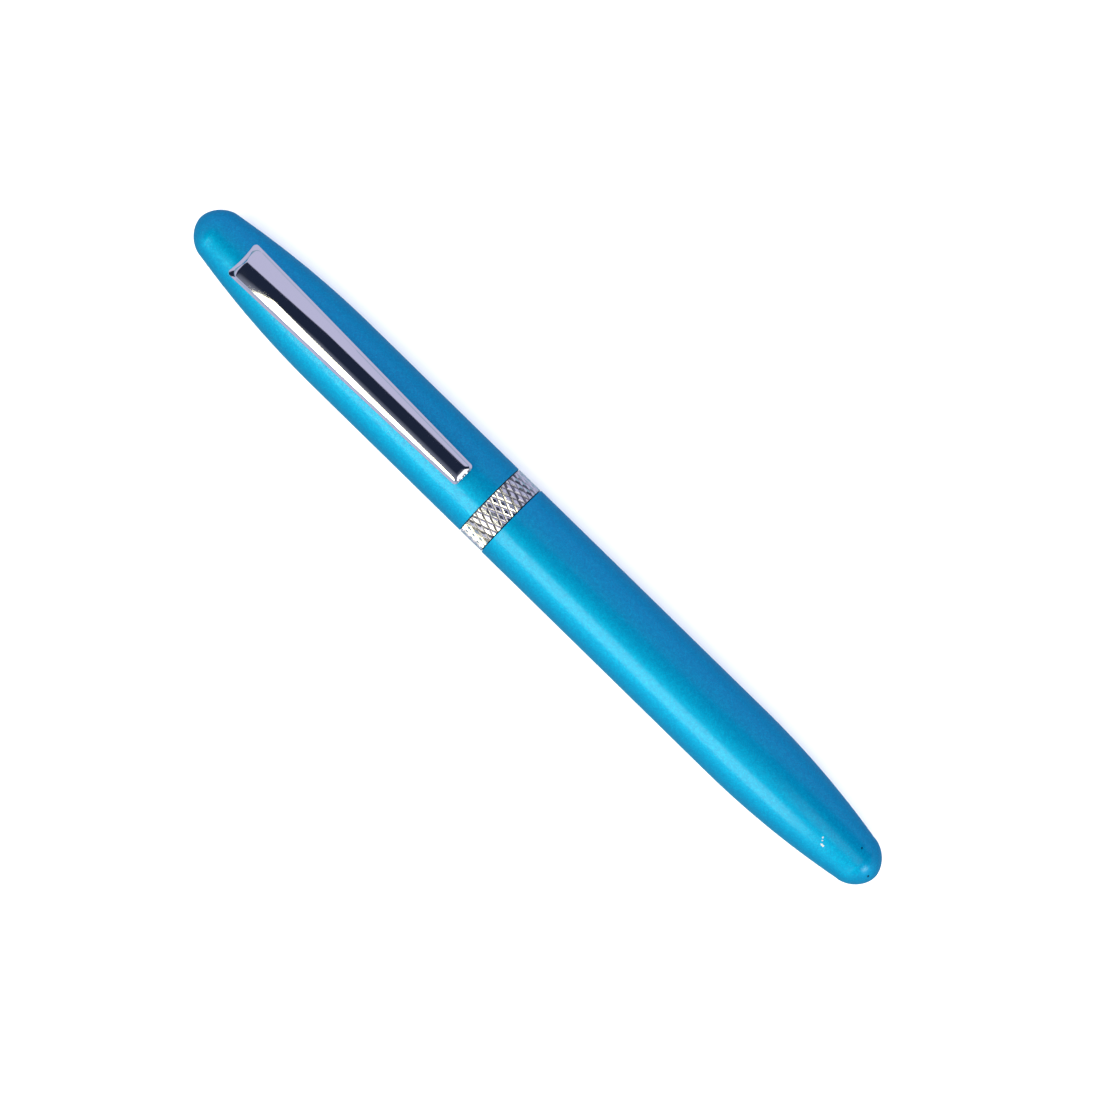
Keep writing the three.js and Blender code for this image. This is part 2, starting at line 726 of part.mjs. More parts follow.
const barrel = assembly(
  part("barrel_shell", barrelShell(), "teal"),
  part("barrel_thread_bush", barrelThreadBush(), "brass"),
  part("spring_seat", springSeat(), "whitePlastic"),
  part("refill_spring", refillSpring(), "steel"),
);

const section = assembly(
  part("section_o_ring", oRing(), "rubber"),
  part("section_thread", sectionThread(), "brass"),
  part("section_trim_ring", sectionTrimRing(), "chrome"),
  part("grip_section", gripSection(), "blackPlastic"),
  part("section_nose", sectionNose(), "chrome"),
  part("catch_ring", catchRing(), "steel"),
);

const refill = assembly(
  part("refill_end_plug", refillEndPlug(), "whitePlastic"),
  part("refill_tube", refillTube(), "greyPlastic"),
  part("ink_fibre", inkFibre(), "fibre"),
  part("refill_front", refillFront(), "blackPlastic"),
  part("feed_rod", feedRod(), "whitePlastic"),
  part("refill_tip", refillTip(), "steel"),
  part("writing_ball", writingBall(), "steel"),
);

const cap = assembly(
  part("cap_shell", capShell(), "teal"),
  part("cap_band", capBand(), "knurl"),
  part("cap_sleeve", capSleeve(), "blackPlastic"),
  part("inner_cap", innerCap(), "whitePlastic"),
  part("clip_holder", clipHolder(), "brass"),
  part("clip_arm", clipArm(), "chrome"),
);

const pen = assembly(barrel, section, refill, cap);
pen.position.set((BARREL_LENGTH - CAP_LENGTH) / 2, 0, bodyRadius);

const model = new THREE.Group();
model.add(pen);

export default model;
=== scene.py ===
# %% [markdown]
# # A capped rollerball pen
#
# The mechanical model of the pen is finished before this lesson starts. It has every shell, thread
# and spring in its place, but its round pieces are polygons. Here each piece gets its real surface:
# smooth paint, pressed chrome, a knurled band. The mechanical model stays as the frame, so every
# new piece takes its size and place from it, and moves with it.

# %% Load the frame and keep its size
import json
import math

import bmesh
import bpy
from mathutils import Matrix, Vector


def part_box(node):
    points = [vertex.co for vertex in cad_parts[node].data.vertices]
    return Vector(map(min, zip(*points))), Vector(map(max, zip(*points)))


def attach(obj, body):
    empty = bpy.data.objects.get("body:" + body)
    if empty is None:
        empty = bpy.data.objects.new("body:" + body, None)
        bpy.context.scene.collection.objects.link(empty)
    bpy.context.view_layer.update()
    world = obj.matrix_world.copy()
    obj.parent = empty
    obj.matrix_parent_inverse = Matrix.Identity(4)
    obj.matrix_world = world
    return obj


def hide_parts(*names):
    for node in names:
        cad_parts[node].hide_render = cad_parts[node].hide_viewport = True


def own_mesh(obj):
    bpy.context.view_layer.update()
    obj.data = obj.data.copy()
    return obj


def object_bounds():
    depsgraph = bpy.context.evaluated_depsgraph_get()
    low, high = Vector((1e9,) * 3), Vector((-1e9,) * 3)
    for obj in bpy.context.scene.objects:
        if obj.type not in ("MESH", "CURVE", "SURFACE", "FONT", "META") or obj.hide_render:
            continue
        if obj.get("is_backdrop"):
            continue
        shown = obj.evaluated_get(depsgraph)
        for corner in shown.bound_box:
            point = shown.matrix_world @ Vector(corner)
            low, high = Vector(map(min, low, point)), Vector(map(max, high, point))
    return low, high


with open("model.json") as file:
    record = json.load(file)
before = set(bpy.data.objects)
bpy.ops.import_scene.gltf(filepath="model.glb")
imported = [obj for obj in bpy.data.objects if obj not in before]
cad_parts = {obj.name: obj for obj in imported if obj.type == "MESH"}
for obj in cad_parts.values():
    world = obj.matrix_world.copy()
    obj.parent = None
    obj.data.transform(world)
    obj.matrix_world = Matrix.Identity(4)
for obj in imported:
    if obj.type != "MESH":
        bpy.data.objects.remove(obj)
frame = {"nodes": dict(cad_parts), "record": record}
cad_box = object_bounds()

MM = 0.001
SCENE = bpy.context.scene
barrel_low, barrel_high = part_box("barrel_shell")
AXIS = (barrel_low.z + barrel_high.z) / 2  # the height of the pen's axis
JOINT = barrel_high.x  # where the barrel's mouth meets the cap's
print("axis height", round(AXIS / MM, 3), "mm, joint at", round(JOINT / MM, 3), "mm")

# %% [markdown]
# ## Who moves with what
#
# The frame's record says which body each node belongs to, and which material slot it has. A new
# piece stands for one node, so it takes both from that node, and nothing has to be typed twice.

# %% Look up bodies and slots
record = frame["record"]
BODY_OF = {n: body for body, nodes in record["behaviour"]["bodies"].items() for n in nodes}
SLOT_OF = {row["node"]: row["material_slot"] for row in record["subparts"]}

# %% [markdown]
# ## Finishes
#
# Every finish is a Principled shader with something real added to it: flakes in the paint, smudges
# and hairlines in the chrome, turning marks on the brass. The patterns read Object coordinates,
# which are metres in the pen's own frame, so a scale of 8000 draws cells an eighth of a millimetre
# wide, wherever the piece goes.

# %% Helpers for shader nodes
def add_node(material, kind, inputs=None, **settings):
    """Adds a node, with its inputs filled from numbers or from other nodes' outputs."""
    node = material.node_tree.nodes.new(kind)
    for name, value in settings.items():
        setattr(node, name, value)
    for socket, value in (inputs or {}).items():
        if isinstance(value, bpy.types.NodeSocket):
            material.node_tree.links.new(value, node.inputs[socket])
        else:
            node.inputs[socket].default_value = value
    return node


def new_finish(name, color, metallic, roughness):
    """A material with a plain Principled shader, its shader node, and its Object coordinates."""
    material = bpy.data.materials.new(name)
    material.use_nodes = True
    shader = material.node_tree.nodes["Principled BSDF"]
    shader.inputs["Base Color"].default_value = (*color, 1)
    shader.inputs["Metallic"].default_value = metallic
    shader.inputs["Roughness"].default_value = roughness
    place = add_node(material, "ShaderNodeTexCoord").outputs["Object"]
    return material, shader, place


def feed(material, shader, socket, output):
    material.node_tree.links.new(output, shader.inputs[socket])


def noise(material, place, scale, detail=2.0, stretch=(1, 1, 1)):
    """A noise from 0 to 1. stretch above 1 along an axis makes its cells shorter that way."""
    turned = add_node(material, "ShaderNodeMapping", {"Vector": place, "Scale": stretch})
    sockets = {"Vector": turned.outputs["Vector"], "Scale": scale, "Detail": detail}
    return add_node(material, "ShaderNodeTexNoise", sockets).outputs["Fac"]


def between(material, value, low, high, source=(0.3, 0.7)):
    """Spreads a noise over the range from low to high."""
    sockets = {
        "Value": value,
        "From Min": source[0],
        "From Max": source[1],
        "To Min": low,
        "To Max": high,
    }
    return add_node(material, "ShaderNodeMapRange", sockets).outputs["Result"]


def ramp(material, value, *stops):
    """Colours along a value: stops are (place, colour)."""
    node = add_node(material, "ShaderNodeValToRGB", {"Fac": value})
    elements = node.color_ramp.elements
    while len(elements) < len(stops):
        elements.new(0.5)
    for element, (where, color) in zip(elements, stops):
        element.position = where
        element.color = (*color, 1)
    return node.outputs["Color"]


def mix(material, share, first, second):
    """first where share is 0 and second where it is 1."""
    return add_node(
        material, "ShaderNodeMixRGB", {"Fac": share, "Color1": first, "Color2": second}
    ).outputs["Color"]


def math_node(material, operation, *values):
    node = add_node(material, "ShaderNodeMath", dict(enumerate(values)), operation=operation)
    return node.outputs["Value"]


def relief(material, shader, height, depth, strength=1.0):
    """Bump from a height between 0 and 1, where 1 stands depth metres up."""
    sockets = {"Height": height, "Distance": depth, "Strength": strength}
    bump = add_node(material, "ShaderNodeBump", sockets)
    feed(material, shader, "Normal", bump.outputs["Normal"])


def radius_from_axis(material, place):
    """How far a point lies from the pen's axis."""
    moved = add_node(
        material, "ShaderNodeVectorMath", {0: place, 1: (0, 0, -AXIS)}, operation="ADD"
    ).outputs["Vector"]
    flat = add_node(
        material, "ShaderNodeVectorMath", {0: moved, 1: (0, 1, 1)}, operation="MULTIPLY"
    ).outputs["Vector"]
    return add_node(
        material, "ShaderNodeVectorMath", {0: flat}, operation="LENGTH"
    ).outputs["Value"]


# %% [markdown]
# ### The satin paint
#
# The paint is a metallic lacquer: a clear coloured film with fine aluminium flakes in it. Each
# flake lies at its own slope, so the surface sparkles where the light is strong and looks deep blue
# elsewhere. One Principled shader can do it, mostly metallic, with a colour that changes from
# flake to flake, a soft bump for the flakes' slopes, and a thin coat on top. This was preferred to
# a layered shader because it still exports as one plain material.
#
# The barrel's end has been knocked: a few chips show the pale primer, and there are two dark
# specks. They are spots at named places, with a noise that frays their edges.

# %% Satin teal paint
FLAKE_CELLS = 7500  # per metre
TEAL = (0.0, 0.39, 0.72)
DEEP_TEAL, BRIGHT_TEAL = (0.0, 0.33, 0.66), (0.0, 0.48, 0.8)
PRIMER = (0.42, 0.46, 0.46, 1)
SPECK = (0.0, 0.06, 0.13, 1)
METALLIC = 0.9
FRAY = 0.07 * MM
CHIPS = [  # place in mm from the barrel's tip, across the pen, and the chip's radius
    (10.26, 1.1, 0.13),
    (9.98, 1.5, 0.09),
    (9.62, 1.98, 0.16),
    (9.34, 1.95, 0.15),
]
MARKS = [  # dark specks, the same way
    (5.0, -1.75, 0.15),
    (1.3, 0.55, 0.19),
]


def spots(material, place, where):
    """1 inside small frayed spots on the top of the barrel, 0 elsewhere."""
    fray = between(material, noise(material, place, 5200, 3), -FRAY, FRAY)
    total = None
    for along, across, size in where:
        centre = (barrel_low.x + along * MM, across * MM, 0)
        flat = add_node(
            material, "ShaderNodeVectorMath", {0: place, 1: (1, 1, 0)}, operation="MULTIPLY"
        ).outputs["Vector"]
        away = add_node(
            material, "ShaderNodeVectorMath", {0: flat, 1: centre}, operation="DISTANCE"
        ).outputs["Value"]
        edge = math_node(material, "ADD", away, fray)
        spot = math_node(material, "LESS_THAN", edge, size * MM)
        total = spot if total is None else math_node(material, "MAXIMUM", total, spot)
    height = add_node(material, "ShaderNodeSeparateXYZ", {"Vector": place}).outputs["Z"]
    on_top = math_node(material, "GREATER_THAN", height, AXIS)
    return math_node(material, "MULTIPLY", total, on_top)


def satin_paint():
    material, shader, place = new_finish("satin_teal", TEAL, METALLIC, 0.4)
    flakes = add_node(material, "ShaderNodeTexVoronoi", {"Vector": place, "Scale": FLAKE_CELLS})
    glint = add_node(material, "ShaderNodeSeparateColor", {"Color": flakes.outputs["Color"]})
    paint = ramp(
        material,
        glint.outputs["Red"],
        (0.0, DEEP_TEAL),
        (0.6, TEAL),
        (1.0, BRIGHT_TEAL),
    )
    chipped = spots(material, place, CHIPS)
    marked = spots(material, place, MARKS)
    worn = mix(material, chipped, paint, PRIMER)
    worn = mix(material, marked, worn, SPECK)
    feed(material, shader, "Base Color", worn)
    feed(material, shader, "Metallic", between(material, chipped, METALLIC, 0.0, (0, 1)))
    rough = between(material, noise(material, place, 3000, 2), 0.58, 0.68)
    feed(material, shader, "Roughness", rough)
    shader.inputs["Specular IOR Level"].default_value = 0.1
    shader.inputs["Specular Tint"].default_value = (0, 0.15, 0.3, 1)
    shader.inputs["Coat Weight"].default_value = 0.4
    shader.inputs["Coat Roughness"].default_value = 0.2
    sunk = math_node(material, "MULTIPLY", chipped, -0.8)
    grain = noise(material, place, 4200, 3)
    slopes = math_node(material, "MULTIPLY_ADD", grain, 0.7, sunk)
    relief(material, shader, slopes, 0.018 * MM)
    return material


# %% [markdown]
# ### Chrome, steel and brass
#
# Polished chrome is almost a mirror, so it is only as good as what it reflects. What tells it from
# a computer's perfect mirror is a faint smudge in its roughness and hairlines along the way it is
# wiped. The knurled chrome is the same plating over cut metal, a little duller, and its grooves get
# painted shade: they are coloured near black, unevenly, and the distance from the pen's axis tells
# a groove from a crest. Turned pieces have rings round the axis, made by a noise that is stretched
# along the pen.

# %% Metals
def polished_chrome():
    material, shader, place = new_finish("polished_chrome", (0.83, 0.82, 0.86), 1.0, 0.05)
    smudge = noise(material, place, 260, 3)
    feed(material, shader, "Roughness", between(material, smudge, 0.03, 0.09))
    hairlines = noise(material, place, 900, 2, (1, 14, 14))
    relief(material, shader, hairlines, 0.0006 * MM)
    return material


def knurled_chrome(groove, crest):
    material, shader, place = new_finish("knurled_chrome", (0.8, 0.79, 0.84), 1.0, 0.16)
    height = between(
        material, radius_from_axis(material, place), 0.0, 1.0, (groove, crest)
    )
    # Painted shade: the base colour goes near black down in the grooves and light on the crests, by
    # depth below the crest, made uneven by a noise.
    tarnish_and_groove_shade = math_node(material, "MULTIPLY_ADD", noise(material, place, 2500, 2), 0.25, height)
    color = ramp(
        material,
        tarnish_and_groove_shade,
        (0.1, (0.03, 0.028, 0.035)),
        (0.3, (0.6, 0.59, 0.63)),
        (0.8, (0.84, 0.83, 0.87)),
    )
    feed(material, shader, "Base Color", color)
    feed(material, shader, "Roughness", between(material, height, 0.34, 0.2, (0, 1)))
    relief(material, shader, noise(material, place, 3500, 2), 0.01 * MM)
    return material


def turned_metal(name, color, tarnish_and_groove_shade, roughness):
    """Metal off a lathe: fine rings round the axis, and a slight tarnish."""
    material, shader, place = new_finish(name, color, 1.0, roughness)
    tarnish = between(material, noise(material, place, 350, 4), 0.0, 1.0)
    feed(material, shader, "Base Color", mix(material, tarnish, (*color, 1), (*tarnish_and_groove_shade, 1)))
    rings = noise(material, place, 1800, 2, (6, 0.2, 0.2))
    feed(material, shader, "Roughness", between(material, rings, roughness * 0.7, roughness * 1.4))
    relief(material, shader, rings, 0.004 * MM)
    return material


# %% [markdown]
# ### Plastics, rubber and fibre
#
# Moulded plastic has a soft unevenness that bends its reflections, and fine handling marks that
# change its gloss. Both are small, but a grip without them looks like black glass. The ink's
# reservoir is a bundle of fibres along the pen.

# %% Plastics, rubber and fibre
def moulded_plastic(name, color, roughness, coat=0.0):
    material, shader, place = new_finish(name, color, 0.0, roughness)
    lighter = tuple(min(1.0, c * 1.35 + 0.004) for c in color)
    cloud = between(material, noise(material, place, 500, 4), 0.0, 1.0)
    feed(material, shader, "Base Color", mix(material, cloud, (*color, 1), (*lighter, 1)))
    handled = noise(material, place, 1400, 3, (0.3, 1, 1))
    gloss = between(material, handled, roughness * 0.75, roughness * 1.3)
    feed(material, shader, "Roughness", gloss)
    shader.inputs["Coat Weight"].default_value = coat
    shader.inputs["Coat Roughness"].default_value = 0.12
    relief(material, shader, noise(material, place, 1100, 2), 0.006 * MM)
    return material


def soft_rubber():
    material, shader, place = new_finish("seal_rubber", (0.015, 0.015, 0.015), 0.0, 0.75)
    skin = noise(material, place, 5000, 4)
    bloom = ramp(material, skin, (0.35, (0.011, 0.011, 0.012)), (0.7, (0.03, 0.03, 0.031)))
    feed(material, shader, "Base Color", bloom)
    relief(material, shader, skin, 0.012 * MM)
    return material


def inked_fibre():
    material, shader, place = new_finish("inked_fibre", (0.02, 0.04, 0.14), 0.0, 0.9)
    strands = noise(material, place, 3200, 3, (0.05, 1, 1))
    color = ramp(material, strands, (0.35, (0.008, 0.012, 0.07)), (0.65, (0.05, 0.08, 0.24)))
    feed(material, shader, "Base Color", color)
    relief(material, shader, strands, 0.03 * MM)
    return material


# %% [markdown]
# ### A finish for every slot
#
# The record names one slot for each finish. The knurl's finish needs to know how deep the grooves
# are cut, so that size is set here.

# %% Fill the slots
KNURL_DEPTH = 0.18 * MM
band_low, band_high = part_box("cap_band")
CREST = (band_high.z - band_low.z) / 2
FINISHES = {
    "teal_paint": satin_paint(),
    "chrome": polished_chrome(),
    "knurled_chrome": knurled_chrome(CREST - KNURL_DEPTH, CREST),
    "brass": turned_metal("turned_brass", (0.78, 0.58, 0.28), (0.6, 0.42, 0.2), 0.22),
    "steel": turned_metal("bright_steel", (0.63, 0.63, 0.65), (0.5, 0.5, 0.52), 0.2),
    "black_plastic": moulded_plastic("black_plastic", (0.012, 0.012, 0.015), 0.24, 0.3),
    "grey_plastic": moulded_plastic("grey_plastic", (0.3, 0.32, 0.35), 0.45),
    "white_plastic": moulded_plastic("white_plastic", (0.78, 0.78, 0.75), 0.4),
    "ink_fibre": inked_fibre(),
    "rubber": soft_rubber(),
}
print(len(FINISHES), "finishes")

# %% [markdown]
# ## From a bmesh to a piece
#
# All pieces end the same way: the bmesh becomes an object at the origin, it is shaded smooth with
# its real corners kept sharp, it gets its node's finish, and it rides on its node's body. The node
# itself is then hidden, and stays only for the physics.

# %% Finish a piece
CORNER = math.radians(38)
SAME_POINT = 0.0005 * MM


def stand_for(node, bm, name, corner=CORNER):
    """Makes the bmesh the visible piece for a node of the frame."""
    mesh = bpy.data.meshes.new(name)
    bm.to_mesh(mesh)
    bm.free()
    mesh.shade_smooth()
    mesh.set_sharp_from_angle(angle=corner)
    piece = bpy.data.objects.new(name, mesh)
    SCENE.collection.objects.link(piece)
    mesh.materials.append(FINISHES[SLOT_OF[node]])
    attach(piece, BODY_OF[node])
    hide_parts(node)
    print(name, len(mesh.polygons), "faces on", BODY_OF[node])
    return piece


def cleaned(bm):
    """Merges the points that lie on each other and turns every face outwards."""
    bmesh.ops.remove_doubles(bm, verts=bm.verts, dist=SAME_POINT)
    bmesh.ops.recalc_face_normals(bm, faces=bm.faces)
    return bm


# %% [markdown]
# ## Turned pieces
#
# Most of a pen is made on a lathe, and Blender's spin is a lathe: it sweeps a section round an
# axis. The section could be typed in again, but the frame already has it. So a copy of the node is
# cut with a plane through the axis, the half that isn't needed is thrown away, and the line that is
# left is spun with many more slices than the frame has. The piece can't miss its place or size.
#
# A real edge is never perfectly sharp. After the spin, the rings where two faces meet at a corner
# get a small bevel, which is what catches the light.

# %% Cut a section and spin it
def section_of(node, side=1):
    """The section line of a turned node, from the half above the axis (1) or below it (-1)."""
    bm = bmesh.new()
    bm.from_mesh(frame["nodes"][node].data)
    bmesh.ops.remove_doubles(bm, verts=bm.verts, dist=0.001 * MM)
    everything = bm.verts[:] + bm.edges[:] + bm.faces[:]
    bmesh.ops.bisect_plane(
        bm, geom=everything, dist=1e-9, plane_co=(0, 0, AXIS), plane_no=(0, 1, 0),
        clear_inner=True, clear_outer=True,
    )
    everything = bm.verts[:] + bm.edges[:]
    bmesh.ops.bisect_plane(
        bm, geom=everything, dist=1e-9, plane_co=(0, 0, AXIS), plane_no=(0, 0, -side),
        clear_outer=True,
    )
    on_axis = [e for e in bm.edges if all(abs(v.co.z - AXIS) < 1e-7 for v in e.verts)]
    bmesh.ops.delete(bm, geom=on_axis, context="EDGES")
    straight = [v for v in bm.verts if is_straight(v)]
    bmesh.ops.dissolve_verts(bm, verts=straight)
    return bm


def is_straight(vert):
    """Whether the line runs straight on through a point, which then isn't needed."""
    if len(vert.link_edges) != 2:
        return False
    first, second = (e.other_vert(vert).co - vert.co for e in vert.link_edges)
    return first.angle(-second, 0) < math.radians(0.3)


def spin_whole(bm, slices):
    """Sweeps what is in the bmesh once round the pen's axis."""
    bmesh.ops.spin(
        bm, geom=bm.verts[:] + bm.edges[:], cent=(0, 0, AXIS), axis=(1, 0, 0),
        dvec=(0, 0, 0), angle=2 * math.pi, steps=slices, use_merge=True,
    )
    return cleaned(bm)


def round_corners(bm, width, segments=2, corner=CORNER):
    sharp = [e for e in bm.edges if len(e.link_faces) == 2 and e.calc_face_angle() > corner]
    bmesh.ops.bevel(
        bm, geom=sharp, offset=width, offset_type="OFFSET", segments=segments, profile=0.5,
        affect="EDGES", clamp_overlap=True, material=-1,
    )
    return bm


def turn_again(node, name, slices=96, edge=0.05 * MM, side=1):
    """The node's own section, turned smooth."""
    bm = spin_whole(section_of(node, side), slices)
    return stand_for(node, round_corners(bm, edge), name)


# %% [markdown]
# ## The barrel and the cap
#
# The two painted shells are straight in the middle and run out in a long slow taper to a rounded
# end. Their surface is the first thing that anyone sees, so their outline comes from its own curves
# instead of from the frame's steps: an arc of a very large circle for the taper, and a
# superellipse, which is a little more pointed than an ellipse, for the end. The curves' sizes are
# those of the mechanical model. The bore is a straight line of points behind the outline.

# %% The outline of a tapered end
DOME_LENGTH = 4.1 * MM
DOME_FULLNESS = 1.8  # the superellipse's power: 2 would be an ellipse
BARREL_TAPER, BARREL_BEND = 28.5 * MM, 138 * MM  # the taper's length and its arc's radius
CAP_TAPER, CAP_BEND = 29 * MM, 150 * MM


def taper_radius(away, radius, length, bend):
    """The radius at a distance from the tip, on an arc that runs into the straight stretch."""
    into = max(0.0, length - away)
    return radius - (bend - math.sqrt(bend * bend - into * into))


def end_outline(radius, length, bend, dome_steps=22, taper_steps=30):
    """(distance from the tip, radius) from the tip to the start of the straight stretch."""
    rim = taper_radius(DOME_LENGTH, radius, length, bend)
    points = [(0.0, 0.0)]
    for i in range(1, dome_steps):
        share = math.cos(i / dome_steps * math.pi / 2)
        height = (1 - share**DOME_FULLNESS) ** (1 / DOME_FULLNESS)
        points.append((DOME_LENGTH * (1 - share), rim * height))
    for i in range(taper_steps + 1):
        away = DOME_LENGTH + (length - DOME_LENGTH) * i / taper_steps
        points.append((away, taper_radius(away, radius, length, bend)))
    return points


def line_through(points):
    """A bmesh with one line of edges through (place along the pen, radius) points."""
    bm = bmesh.new()
    line = [bm.verts.new((along, 0, AXIS + radius)) for along, radius in points]
    for pair in zip(line, line[1:]):
        bm.edges.new(pair)
    return bm


# %% The barrel's skin
SKIN_SLICES = 144
SHELL_EDGE = 0.07 * MM
BODY_RADIUS = (barrel_high.z - barrel_low.z) / 2
BARREL_WALL = 0.75 * MM
BARREL_BORE = BODY_RADIUS - BARREL_WALL
BORE_CONE_START, BORE_CONE_END = 26 * MM, 9 * MM  # where the bore narrows, from the tip
GUIDE_BORE = 3.3 * MM
POCKET_BORE = 2.7 * MM
SEAT_ROOM = 0.05 * MM
REFILL_ROOM = 1.35 * MM  # behind the end plug, for the refill to move back
barrel_tip = barrel_low.x
seat_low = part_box("spring_seat")[0]
plug_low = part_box("refill_end_plug")[0]
pocket_floor = seat_low.x - SEAT_ROOM
guide_end = plug_low.x - REFILL_ROOM
outline = [
    (barrel_tip + away, r) for away, r in end_outline(BODY_RADIUS, BARREL_TAPER, BARREL_BEND)
]
outline += [
    (JOINT, BODY_RADIUS),
    (JOINT, BARREL_BORE),
    (barrel_tip + BORE_CONE_START, BARREL_BORE),
    (barrel_tip + BORE_CONE_END, GUIDE_BORE),
    (guide_end, GUIDE_BORE),
    (guide_end, POCKET_BORE),
    (pocket_floor, POCKET_BORE),
    (pocket_floor, 0),
]
bm = spin_whole(line_through(outline), SKIN_SLICES)
stand_for("barrel_shell", round_corners(bm, SHELL_EDGE, 3), "barrel_skin")

# %% [markdown]
# The cap's shell has a narrow slot under the clip's head, for the clip's foot. A Boolean cuts it.
# The cutter is a cube moved to the foot's place, and both the modifier and the cutter are gone
# when the cut is done, so that the kept mesh is the real one. A Boolean can leave slivers where
# two surfaces meet at a small angle, so points that nearly touch are merged after it.

# %% A Boolean that leaves a plain mesh
SLIVER = 0.002 * MM


def box_at(low, high, edge=0.0):
    """A block between two corners, with its edges rounded if asked."""
    bm = bmesh.new()
    bmesh.ops.create_cube(bm, size=1)
    bmesh.ops.scale(bm, vec=high - low, verts=bm.verts)
    bmesh.ops.translate(bm, vec=(low + high) / 2, verts=bm.verts)
    if edge:
        bmesh.ops.bevel(
            bm, geom=bm.edges[:], offset=edge, segments=3, profile=0.5, affect="EDGES",
            clamp_overlap=True, material=-1,
        )
    return bm


def loose_object(bm, name):
    mesh = bpy.data.meshes.new(name)
    bm.to_mesh(mesh)
    bm.free()
    made = bpy.data.objects.new(name, mesh)
    SCENE.collection.objects.link(made)
    return made


def combined(first, second, operation):
    """The bmesh of two closed bmeshes joined ("UNION") or cut ("DIFFERENCE")."""
    kept, tool = loose_object(first, "kept"), loose_object(second, "tool")
    modifier = kept.modifiers.new("combine", "BOOLEAN")
    modifier.operation = operation
    modifier.object = tool
    modifier.solver = "EXACT"
    shown = kept.evaluated_get(bpy.context.evaluated_depsgraph_get())
    bm = bmesh.new()
    bm.from_mesh(shown.to_mesh())
    shown.to_mesh_clear()
    for made in (kept, tool):
        mesh = made.data
        bpy.data.objects.remove(made)
        bpy.data.meshes.remove(mesh)
    bmesh.ops.remove_doubles(bm, verts=bm.verts, dist=SLIVER)
    bmesh.ops.dissolve_degenerate(bm, edges=bm.edges, dist=SLIVER / 2)
    return bm


# %% The cap's skin
shell_low, shell_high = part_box("cap_shell")
sleeve_low, sleeve_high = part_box("cap_sleeve")
CAP_RADIUS = (shell_high.z - shell_low.z) / 2
CAP_BORE = (sleeve_high.z - sleeve_low.z) / 2 + 0.05 * MM
CAP_CONE_START, CAP_CONE_END, CAP_CONE_DROP = 28 * MM, 8 * MM, 1.5 * MM
CAP_FLOOR = 2.2 * MM
cap_tip = shell_high.x
outline = [
    (cap_tip - away, r) for away, r in end_outline(CAP_RADIUS, CAP_TAPER, CAP_BEND)
]
outline += [
    (shell_low.x, CAP_RADIUS),
    (shell_low.x, CAP_BORE),
    (cap_tip - CAP_CONE_START, CAP_BORE),
    (cap_tip - CAP_CONE_END, CAP_BORE - CAP_CONE_DROP),
    (cap_tip - 1.4 * CAP_FLOOR, (CAP_BORE - CAP_CONE_DROP) / 2),
    (cap_tip - CAP_FLOOR, 0),
]
shell = round_corners(spin_whole(line_through(outline), SKIN_SLICES), SHELL_EDGE, 3)

CLIP_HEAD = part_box("clip_arm")[1].x
FOOT_BACK = 1.5 * MM  # from the head's end to the foot's middle
FOOT_MIDDLE = CLIP_HEAD - FOOT_BACK
FOOT_THICKNESS, FOOT_WIDTH = 0.7 * MM, 3 * MM
FOOT_ROOM = 0.3 * MM
half_slot = Vector((FOOT_THICKNESS / 2 + FOOT_ROOM, FOOT_WIDTH / 2 + FOOT_ROOM, 0))
slot_bottom = Vector((FOOT_MIDDLE, 0, AXIS))
slot_top = Vector((FOOT_MIDDLE, 0, AXIS + BODY_RADIUS))
slot = box_at(slot_bottom - half_slot, slot_top + half_slot)
stand_for("cap_shell", combined(shell, slot, "DIFFERENCE"), "cap_skin")

# %% [markdown]
# ## The knurled band
#
# Knurling is pressed into a turning ring by two wheels whose teeth slope to the left and to the
# right, so it leaves rows of small diamonds. They catch the light one by one, which a bump map
# can't do at the band's edge, where their outline shows. So the diamonds are real geometry.
#
# One diamond is a circle with four corners. An inset with some height makes it a low pyramid with a
# flat top. It is copied along the pen to make a strip of two staggered columns, the strip is spun
# round the axis with use_duplicate, and the band is cut to its length with two bisecting planes.
# The open edges are then pulled in to the bore, which closes the ring.

# %% Knurl
KNURL_COUNT = 38
KNURL_LENGTH = 2.3 * MM
KNURL_LAND = 0.25 * MM  # the sloping side of a diamond, seen from above
step = 2 * math.pi / KNURL_COUNT
half_width = CREST * math.tan(step / 2)


def diamond(bm, along, turn):
    """One flat-topped diamond with its middle at a place along the pen and at an angle round it."""
    flat = bmesh.ops.create_circle(bm, cap_ends=True, radius=1, segments=4)["verts"]
    bmesh.ops.scale(bm, vec=(KNURL_LENGTH / 2, half_width, 1), verts=flat)
    face = next(f for v in flat for f in v.link_faces)
    bmesh.ops.inset_individual(
        bm, faces=[face], thickness=KNURL_LAND, depth=KNURL_DEPTH, use_even_offset=True,
    )
    made = {v for f in bm.faces for v in f.verts if v.co.z < AXIS / 2}
    top = {v for v in made if v.co.z > KNURL_DEPTH / 2}
    for v in made:
        angle = math.atan2(v.co.y, CREST)
        radius = CREST - (0 if v in top else KNURL_DEPTH)
        v.co = (v.co.x, radius * math.sin(angle), AXIS + radius * math.cos(angle))
    round_axis = Matrix.Rotation(turn, 3, "X")
    bmesh.ops.rotate(bm, cent=(0, 0, AXIS), matrix=round_axis, verts=list(made))
    bmesh.ops.translate(bm, vec=(along, 0, 0), verts=list(made))


strip = bmesh.new()
columns = math.ceil((band_high.x - band_low.x) / KNURL_LENGTH) + 1
for i in range(2 * columns):
    diamond(strip, band_low.x + i * KNURL_LENGTH / 2, step / 2 * (i % 2))
bmesh.ops.spin(
    strip, geom=strip.verts[:] + strip.edges[:] + strip.faces[:], cent=(0, 0, AXIS),
    axis=(1, 0, 0), dvec=(0, 0, 0), angle=2 * math.pi, steps=KNURL_COUNT, use_duplicate=True,
)
cleaned(strip)
print("knurl", len(strip.faces), "faces before the cut")

